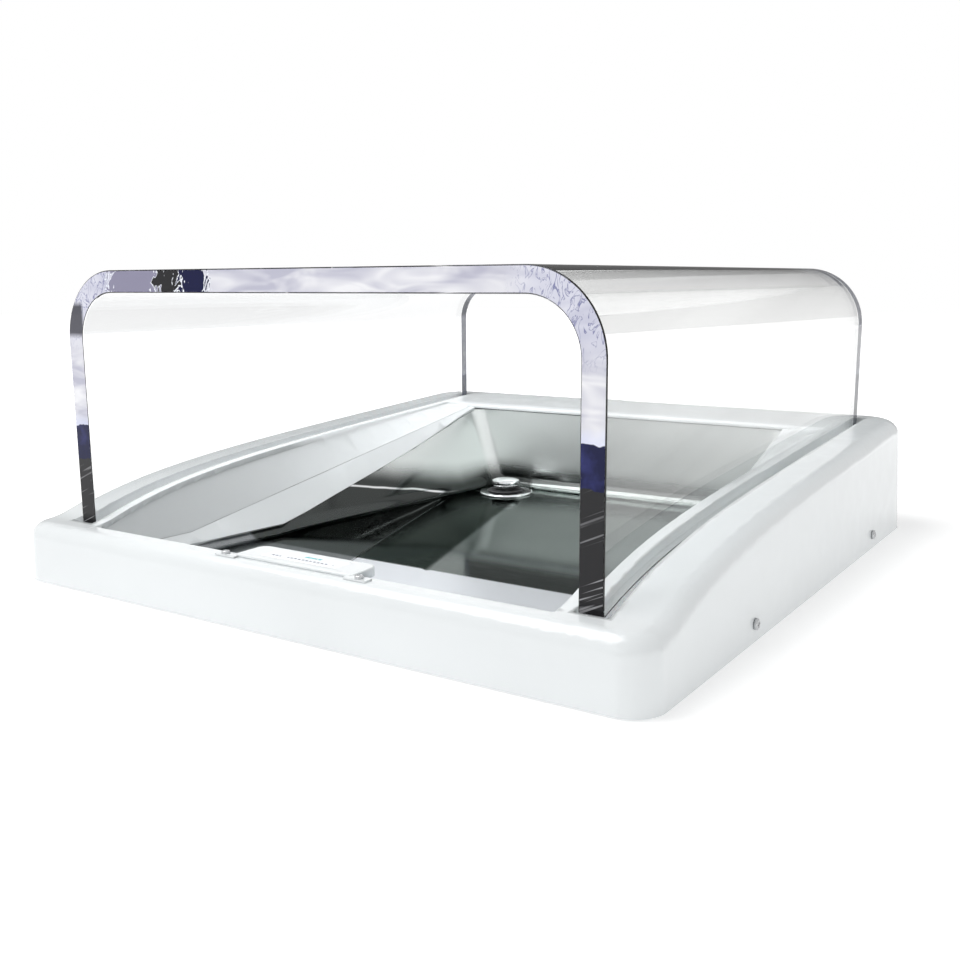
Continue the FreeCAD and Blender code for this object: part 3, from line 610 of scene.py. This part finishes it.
class BASIN_OT_tray(bpy.types.Operator):
    """Folded steel tray with rolled bends and two shallow grooves that lead to the waste"""

    bl_idname = "basin.tray"
    bl_label = "Tray"

    def execute(self, context):
        s = sizes()
        front, back = TRAY_LOW.y + s.sheet, TRAY_HIGH.y - s.flange - s.sheet
        floor, top = TRAY_LOW.z + s.sheet, TRAY_HIGH.z
        bm = bmesh.new()
        for vert in bmesh.ops.create_cube(bm, size=2.0)["verts"]:
            y = front if vert.co.y < 0 else back
            z = floor if vert.co.z < 0 else top
            vert.co = (math.copysign(tray_face(y, z), vert.co.x), y, z)
        bm.faces.ensure_lookup_table()
        lid = [face for face in bm.faces if face.calc_center_median().z > top - MM]
        bmesh.ops.delete(bm, geom=lid, context="FACES_ONLY")
        upright = [e for e in bm.edges if abs(e.verts[0].co.z - e.verts[1].co.z) > 20 * MM]
        corners = [e for e in upright if e.verts[0].co.y > 0]
        rounded(bm, corners, s.corner_radius, 8)
        low = [e for e in bm.edges if max(v.co.z for v in e.verts) < floor + MM]
        rounded(bm, [e for e in low if max(v.co.y for v in e.verts) > front + MM], s.bend_radius, 8)
        low = [e for e in bm.edges if all(v.co.z < floor + MM and v.co.y < front + MM for v in e.verts)]
        rounded(bm, low, 1.5 * MM, 3)
        count = 24
        for i in range(1, count):
            y = front + (back - s.corner_radius - front) * i / count
            cut_along(bm, (0, y, 0), (0, 1, 0))
        for vert in bm.verts:
            if vert.co.z > top - MM and vert.co.y < back - 2 * s.corner_radius:
                edge = wall_edge(vert.co.y)
                z = floor + s.upstand if vert.co.y < front + MM or edge is None else edge + 2.2 * MM
                vert.co.z = z
                if vert.co.y >= front + MM:
                    vert.co.x = math.copysign(tray_face(vert.co.y, z), vert.co.x)
        self.grooves(bm, floor, front)
        self.waste_hole(bm, floor)
        open_edges = [e for e in bm.edges if e.is_boundary]
        rim = [e for e in open_edges if all(v.co.y > back - MM and v.co.z > top - MM for v in e.verts)]
        made = bmesh.ops.extrude_edge_only(bm, edges=rim)["geom"]
        rear = [part for part in made if isinstance(part, bmesh.types.BMVert)]
        bmesh.ops.translate(bm, verts=rear, vec=(0, s.flange, 0))
        bmesh.ops.recalc_face_normals(bm, faces=bm.faces)
        if sum(face.normal.z * face.calc_area() for face in bm.faces) < 0:
            bmesh.ops.reverse_faces(bm, faces=bm.faces)
        piece = as_piece("tray", bm, "base", [polished_steel()], ["steel_tray"], 40.0)
        wall = piece.modifiers.new("sheet", "SOLIDIFY")
        wall.thickness = s.sheet
        wall.offset = -1.0
        even_normals(piece)
        return {"FINISHED"}

    def grooves(self, bm, floor, front):
        """Presses two shallow V grooves into the floor, from the waste's side to the front."""
        s = sizes()
        for start, end in (LEFT_GROOVE, RIGHT_GROOVE):
            across = Vector((0, 0, 1)).cross(end - start).normalized()
            flat = [f for f in bm.faces if all(abs(v.co.z - floor) < 0.01 * MM for v in f.verts)]
            flat = [f for f in flat if f.calc_center_median().y < start.y + 12 * MM]
            parts = {p for f in flat for p in (*f.verts, *f.edges, f)}
            edges = cut_along(bm, start, across, list(parts))
            rounded(bm, edges, s.groove_width / 2, 2)
            for vert in bm.verts:
                inside = start.y > vert.co.y > front + 4 * MM and abs(vert.co.z - floor) < 0.01 * MM
                if inside and abs((vert.co - start).dot(across)) < 0.3 * MM:
                    vert.co.z = floor - s.groove_depth

    def waste_hole(self, bm, floor):
        """Opens the floor under the waste's rim, which covers the hole's edge."""
        centre = (RIM_LOW + RIM_HIGH) / 2
        reach = sizes().waste_neck / 2

        def near(distance):
            flat = [f for f in bm.faces if all(abs(v.co.z - floor) < MM for v in f.verts)]
            return [f for f in flat if (f.calc_center_median() - centre).xy.length < distance]

        for plane in (Vector((1, 0, 0)), Vector((0, 1, 0))):
            for side in (-reach, reach):
                parts = {part for face in near(90 * MM) for part in (*face.verts, *face.edges, face)}
                cut_along(bm, centre + plane * side, plane, list(parts))
        spots = [(face, face.calc_center_median() - centre) for face in near(2 * reach)]
        hole = [face for face, spot in spots if max(abs(spot.x), abs(spot.y)) < reach]
        bmesh.ops.delete(bm, geom=hole, context="FACES")


# Hood


def under_line(node, limit):
    """The height of a node's lower edge as a function of the place along the depth."""
    spots = {(round(v.co.y, 5), v.co.z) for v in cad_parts[node].data.vertices if v.co.z < limit}
    places = sorted(spots)

    def height(y):
        before = max((p for p in places if p[0] <= y + 1e-6), default=places[0])
        after = min((p for p in places if p[0] >= y - 1e-6), default=places[-1])
        gap = after[0] - before[0]
        return before[1] + (after[1] - before[1]) * ((y - before[0]) / gap if gap > 1e-6 else 0.0)

    return height


class BASIN_OT_hood(bpy.types.Operator):
    """Clear sheet bent twice, with polished edges, and the soft strips that it stands on"""

    bl_idname = "basin.hood"
    bl_label = "Hood"

    def execute(self, context):
        s = sizes()
        low, high = HOOD_LOW, HOOD_HIGH
        bm = bmesh.new()
        outer = bm.verts.new((high.x, low.y, low.z))
        inner = bm.verts.new((high.x - s.hood_sheet, low.y, low.z))
        edge = bm.edges.new((outer, inner))
        straight = high.x - s.hood_bend
        rise = high.z - s.hood_bend

        def run(edge, steps, offset):
            for _ in range(steps):
                made = bmesh.ops.extrude_edge_only(bm, edges=[edge])["geom"]
                verts = [part for part in made if isinstance(part, bmesh.types.BMVert)]
                bmesh.ops.translate(bm, verts=verts, vec=offset / steps)
                edges = [part for part in made if isinstance(part, bmesh.types.BMEdge)]
                edge = next(e for e in edges if set(e.verts) == set(verts))
            return edge

        def bend(edge, centre):
            made = bmesh.ops.spin(
                bm,
                geom=[*edge.verts, edge],
                cent=centre,
                axis=(0, 1, 0),
                angle=-math.pi / 2,
                steps=28,
            )["geom_last"]
            return next(part for part in made if isinstance(part, bmesh.types.BMEdge))

        edge = run(edge, 6, Vector((0, 0, rise - low.z)))
        edge = bend(edge, (straight, low.y, rise))
        edge = run(edge, 10, Vector((-2 * straight, 0, 0)))
        edge = bend(edge, (-straight, low.y, rise))
        run(edge, 6, Vector((0, 0, low.z - rise)))
        bmesh.ops.remove_doubles(bm, verts=bm.verts, dist=0.001 * MM)
        made = bmesh.ops.extrude_face_region(bm, geom=bm.faces[:])["geom"]
        verts = [part for part in made if isinstance(part, bmesh.types.BMVert)]
        bmesh.ops.translate(bm, verts=verts, vec=(0, high.y - low.y, 0))
        steps = 32
        for i in range(1, steps):
            cut_along(bm, (0, low.y + (high.y - low.y) * i / steps, 0), (0, 1, 0))
        bmesh.ops.recalc_face_normals(bm, faces=bm.faces)
        lower = under_line("hood", 90 * MM)
        for vert in bm.verts:
            if vert.co.z < rise:
                vert.co.z = rise - (rise - vert.co.z) * (rise - lower(vert.co.y)) / (rise - low.z)
        sharp = [e for e in bm.edges if e.is_manifold and e.calc_face_angle() > math.radians(60)]
        rounded(bm, sharp, s.hood_edge, 2)
        for face in bm.faces:
            middle = face.calc_center_median()
            at_end = min(abs(middle.y - low.y), abs(middle.y - high.y)) < 0.1 * MM
            face.material_index = 1 if at_end else 0
        finish = [clear_acrylic(), acrylic_edge()]
        as_piece("hood_sheet", bm, "hood", finish, ["hood"], 20.0)
        strip = clear_rubber()
        for side in ("right", "left"):
            node = side + "_hood_seat"
            as_piece(side + "_seat_strip", merged_copy(node), "base", [strip], [node])
        return {"FINISHED"}


# Waste and plug


class BASIN_OT_waste(bpy.types.Operator):
    """Chrome rim with its cross, and the plug with its chrome cap and rubber stopper"""

    bl_idname = "basin.waste"
    bl_label = "Waste and plug"

    def execute(self, context):
        s = sizes()
        centre = (RIM_LOW + RIM_HIGH) / 2
        centre.z = 0.0
        plate = chrome()
        top, bottom = RIM_HIGH.z, RIM_LOW.z
        seat = top - 2 * MM
        outer, bore = (RIM_HIGH.x - RIM_LOW.x) / 2, s.waste_bore / 2
        bm = bmesh.new()
        rim = [(outer - 0.05 * MM, seat)]
        rim += [
            (outer - 1.6 * MM + 1.6 * MM * math.cos(t), seat + 0.4 * MM + 1.6 * MM * math.sin(t))
            for t in (math.radians(15 * i) for i in range(7))
        ]
        rim += [(bore + 2.2 * MM, top), (bore + 1.2 * MM, top - 0.15 * MM), (bore + 0.3 * MM, top - 0.8 * MM)]
        rim += [(bore, top - 1.6 * MM), (bore, bottom), (s.waste_neck / 2, bottom), (s.waste_neck / 2, seat)]
        turned(bm, rim + rim[:1], centre, 96)
        for turn in (0, 1):
            long, wide = bore + 0.5 * MM, 1.5 * MM
            half = Vector((long, wide, 0)) if turn == 0 else Vector((wide, long, 0))
            low, high = centre - half, centre + half
            low.z, high.z = bottom, bottom + 4 * MM
            spoke = block(bm, low, high)
            rounded(bm, list({e for v in spoke for e in v.link_edges}), 0.4 * MM, 2)
        as_piece("waste_rim", bm, "base", [plate], ["waste_flange"])
        self.plug(centre, plate)
        return {"FINISHED"}

    def plug(self, centre, plate):
        s = sizes()
        low, high = node_box("plug_cap")
        stop_low, stop_high = node_box("plug_stopper")
        radius = s.cap_diameter / 2
        under = stop_high.z + 4.5 * MM
        edge = high.z - 3 * MM
        post = 4.5 * MM
        bm = bmesh.new()
        cap = [(0.0, high.z)]
        cap += [
            (radius * math.sin(t), edge + (high.z - edge) * math.cos(t) ** 0.8)
            for t in (math.radians(11 * i) for i in range(1, 8))
        ]
        cap += [(radius, edge - 0.4 * MM), (radius, under + 0.8 * MM), (radius - 0.3 * MM, under + 0.2 * MM)]
        cap += [(radius - 0.9 * MM, under), (post + 0.6 * MM, under), (post, under - 0.6 * MM)]
        cap += [(post, low.z), (0.0, low.z)]
        turned(bm, cap, centre, 72)
        as_piece("plug_knob", bm, "plug", [plate], ["plug_cap"])
        bm = bmesh.new()
        lip, body = s.lip_diameter / 2, (s.waste_bore - 0.6 * MM) / 2
        base = stop_high.z - 1.3 * MM
        ring = [(post, stop_high.z), (lip - 0.6 * MM, stop_high.z), (lip, stop_high.z - 0.5 * MM)]
        ring += [(lip - 0.2 * MM, base), (body, base), (body - 0.3 * MM, base - 0.4 * MM)]
        ring += [(body - 0.5 * MM, stop_low.z), (post, stop_low.z)]
        turned(bm, ring + ring[:1], centre, 72)
        as_piece("plug_rubber", bm, "plug", [black_rubber()], ["plug_stopper"])


# Label tab


def label_print():
    """White film with a plain teal mark and a line of navy dashes."""
    low, high = node_box("label_film")
    middle = (low + high) / 2
    look = Look("label_print", (0.86, 0.88, 0.89), 0.22)
    x, y = look.axis("X"), look.axis("Y")

    def within(source, centre, half):
        away = look.maths("ABSOLUTE", look.maths("SUBTRACT", source, centre))
        return look.ranged(away, half, half + 0.1 * MM, 1.0, 0.0)

    def both(first, second):
        return look.maths("MULTIPLY", first, second)

    paper = look.mixed(look.noise(300.0, 2.0), (0.84, 0.86, 0.87), (0.88, 0.90, 0.91))
    mark = both(within(x, middle.x + 2 * MM, 5 * MM), within(y, middle.y + 3.6 * MM, 1.0 * MM))
    dot = both(within(x, middle.x + 9 * MM, 1.2 * MM), within(y, middle.y + 3.6 * MM, 1.2 * MM))
    mark = look.maths("MAXIMUM", mark, dot)
    step = look.maths("FRACT", look.maths("MULTIPLY", x, 1 / (3.1 * MM)))
    dash = look.ranged(step, 0.62, 0.66, 1.0, 0.0)
    words = look.ranged(look.noise(1.0, 0.0, look.stretched((6 * MM, 1.0, 1.0))), 0.36, 0.38)
    row = both(within(x, middle.x, 25 * MM), within(y, middle.y - 2.6 * MM, 0.75 * MM))
    text = both(both(dash, words), row)
    coloured = look.mixed(mark, paper, tuple(finishes().mark))
    look.feed("Base Color", look.mixed(text, coloured, tuple(finishes().print)))
    look.feed("Roughness", look.ranged(look.noise(500.0, 2.0), 0.3, 0.7, 0.18, 0.3))
    return look.material


class BASIN_OT_label(bpy.types.Operator):
    """Tab on the front rail with its printed film"""

    bl_idname = "basin.label"
    bl_label = "Label tab"

    def execute(self, context):
        piece = as_piece(
            "tab_cover", merged_copy("label_tab"), "base", [white_plastic()], ["label_tab"]
        )
        even_normals(piece)
        film = as_piece(
            "tab_film", merged_copy("label_film"), "base", [label_print()], ["label_film"]
        )
        even_normals(film)
        return {"FINISHED"}


class BASIN_OT_fasteners(bpy.types.Operator):
    """Screws that show, and the finishes of all screws and nuts"""

    bl_idname = "basin.fasteners"
    bl_label = "Fasteners"

    def execute(self, context):
        steel = screw_steel()
        for node in ("side_screws", "tab_screws"):
            as_piece(node + "_heads", merged_copy(node), "base", [steel], [node])
        hidden = ("tray_front_screws", "tray_front_nuts", "bracket_screws")
        for node in (*hidden, "foot_screws", "foot_nuts", "side_nuts"):
            paint(node, steel)
        return {"FINISHED"}


def paint(node, material):
    """Gives a frame node that stays visible its finish."""
    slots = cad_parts[node].material_slots
    for slot in slots:
        slot.material = material
    if not slots:
        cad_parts[node].data.materials.append(material)


class BASIN_OT_underside(bpy.types.Operator):
    """Finishes of the pan, feet, brackets, pads, seals and drain"""

    bl_idname = "basin.underside"
    bl_label = "Underside"

    def execute(self, context):
        rubber, zinc = black_rubber(), zinc_steel()
        for node in ("rubber_feet", "tray_pads", "waste_gasket", "drain_grommet"):
            paint(node, rubber)
        for node in ("base_pan", "rear_brackets"):
            paint(node, zinc)
        paint("rim_seal", foam_rubber())
        paint("waste_body", grey_plastic())
        return {"FINISHED"}


# Stage


class BASIN_OT_stage(bpy.types.Operator):
    """Camera, pale floor, white room and soft lights"""

    bl_idname = "basin.stage"
    bl_label = "Stage"

    def execute(self, context):
        scene = context.scene
        s = scene.basin_stage
        self.camera(scene, s)
        self.floor(s)
        self.room(scene, s)
        self.area("key_light", (-0.75, -0.5, 1.8), (0.0, 0.0, 0.05), 1.3, s.key_power)
        scene.view_settings.view_transform = "Standard"
        return {"FINISHED"}

    def camera(self, scene, s):
        data = bpy.data.cameras.new("camera")
        data.lens = s.lens
        data.sensor_width = 36.0
        data.clip_start = 0.01
        ahead = Vector((
            -math.sin(s.camera_yaw) * math.cos(s.camera_pitch),
            math.cos(s.camera_yaw) * math.cos(s.camera_pitch),
            -math.sin(s.camera_pitch),
        ))
        level = Vector((math.cos(s.camera_yaw), math.sin(s.camera_yaw), 0.0))
        down = ahead.cross(level)
        right = level * math.cos(s.camera_roll) + down * math.sin(s.camera_roll)
        up = level * math.sin(s.camera_roll) - down * math.cos(s.camera_roll)
        turn = Matrix((right, up, -ahead)).transposed()
        camera = bpy.data.objects.new("camera", data)
        camera.matrix_world = Matrix.Translation(s.camera_place) @ turn.to_4x4()
        scene.collection.objects.link(camera)
        scene.camera = camera

    def floor(self, s):
        bm = bmesh.new()
        bmesh.ops.create_grid(bm, x_segments=1, y_segments=1, size=s.floor_size / 2)
        mesh = bpy.data.meshes.new("floor")
        bm.to_mesh(mesh)
        bm.free()
        look = Look("floor_paper", (0.9, 0.9, 0.9), 0.9)
        look.set("Specular IOR Level", 0.0)
        look.set("Emission Color", (1.0, 1.0, 1.0, 1.0))
        away = look.nodes.new("ShaderNodeVectorMath")
        away.operation = "LENGTH"
        look.links.new(look.place, away.inputs[0])
        # Painted light: the floor glows, less near the middle, so a soft shade stays round the object and the
        # far floor turns white.
        glow = look.ranged(away.outputs["Value"], 0.45, 1.6, 0.33, 0.8, smooth=True)
        look.feed("Emission Strength", glow)
        mesh.materials.append(look.material)
        floor = bpy.data.objects.new("floor", mesh)
        bpy.context.scene.collection.objects.link(floor)

    def room(self, scene, s):
        """White all round for what is seen directly or through the hood, darker to one side in reflections."""
        world = bpy.data.worlds.new("room")
        world.use_nodes = True
        scene.world = world
        nodes, links = world.node_tree.nodes, world.node_tree.links
        seen = nodes["Background"]
        seen.inputs["Color"].default_value = (1.0, 1.0, 1.0, 1.0)
        lit = nodes.new("ShaderNodeBackground")
        place = nodes.new("ShaderNodeTexCoord").outputs["Generated"]
        facing = nodes.new("ShaderNodeVectorMath")
        facing.operation = "DOT_PRODUCT"
        links.new(place, facing.inputs[0])
        facing.inputs[1].default_value = Vector((-0.52, 0.83, 0.2)).normalized()
        dark = nodes.new("ShaderNodeMapRange")
        dark.interpolation_type = "SMOOTHSTEP"
        links.new(facing.outputs["Value"], dark.inputs["Value"])
        for socket, value in (("From Min", 0.6), ("From Max", 0.97), ("To Min", 1.0), ("To Max", 0.25)):
            dark.inputs[socket].default_value = value
        path = nodes.new("ShaderNodeLightPath")
        matt = nodes.new("ShaderNodeMapRange")
        matt.inputs["To Min"].default_value = 1.0
        matt.inputs["To Max"].default_value = s.world_light
        links.new(path.outputs["Is Diffuse Ray"], matt.inputs["Value"])
        strength = nodes.new("ShaderNodeMath")
        strength.operation = "MULTIPLY"
        links.new(dark.outputs["Result"], strength.inputs[0])
        links.new(matt.outputs["Result"], strength.inputs[1])
        links.new(strength.outputs[0], lit.inputs["Strength"])
        direct = nodes.new("ShaderNodeMath")
        direct.operation = "MAXIMUM"
        links.new(path.outputs["Is Camera Ray"], direct.inputs[0])
        links.new(path.outputs["Is Transmission Ray"], direct.inputs[1])
        either = nodes.new("ShaderNodeMixShader")
        links.new(direct.outputs[0], either.inputs["Fac"])
        links.new(lit.outputs[0], either.inputs[1])
        links.new(seen.outputs[0], either.inputs[2])
        links.new(either.outputs[0], nodes["World Output"].inputs["Surface"])

    def area(self, name, place, target, side, power):
        data = bpy.data.lights.new(name, "AREA")
        data.size = side
        data.energy = power
        light = bpy.data.objects.new(name, data)
        light.location = place
        ahead = Vector(target) - Vector(place)
        light.rotation_euler = ahead.to_track_quat("-Z", "Y").to_euler()
        bpy.context.scene.collection.objects.link(light)


OPERATORS = (
    BASIN_OT_surround,
    BASIN_OT_tray,
    BASIN_OT_hood,
    BASIN_OT_waste,
    BASIN_OT_label,
    BASIN_OT_fasteners,
    BASIN_OT_underside,
    BASIN_OT_stage,
)


class BASIN_PT_panel(bpy.types.Panel):
    """Lists the pieces and their settings"""

    bl_idname = "BASIN_PT_panel"
    bl_label = "Countertop basin"
    bl_space_type = "VIEW_3D"
    bl_region_type = "UI"
    bl_category = "Basin"

    def draw(self, context):
        for operator in OPERATORS:
            self.layout.operator(operator.bl_idname)
        for settings in (context.scene.basin_sizes, context.scene.basin_finishes, context.scene.basin_stage):
            box = self.layout.box()
            for name in settings.bl_rna.properties.keys():
                if name not in ("rna_type", "name"):
                    box.prop(settings, name)


CLASSES = GROUPS + OPERATORS + (BASIN_PT_panel,)


def register():
    for cls in CLASSES:
        bpy.utils.register_class(cls)
    bpy.types.Scene.basin_sizes = bpy.props.PointerProperty(type=BasinSizes)
    bpy.types.Scene.basin_finishes = bpy.props.PointerProperty(type=BasinFinishes)
    bpy.types.Scene.basin_stage = bpy.props.PointerProperty(type=BasinStage)


def unregister():
    del bpy.types.Scene.basin_stage
    del bpy.types.Scene.basin_finishes
    del bpy.types.Scene.basin_sizes
    for cls in reversed(CLASSES):
        bpy.utils.unregister_class(cls)


def main():
    register()
    for operator in OPERATORS:
        group, name = operator.bl_idname.split(".")
        getattr(getattr(bpy.ops, group), name)()


if __name__ == "__main__":
    main()
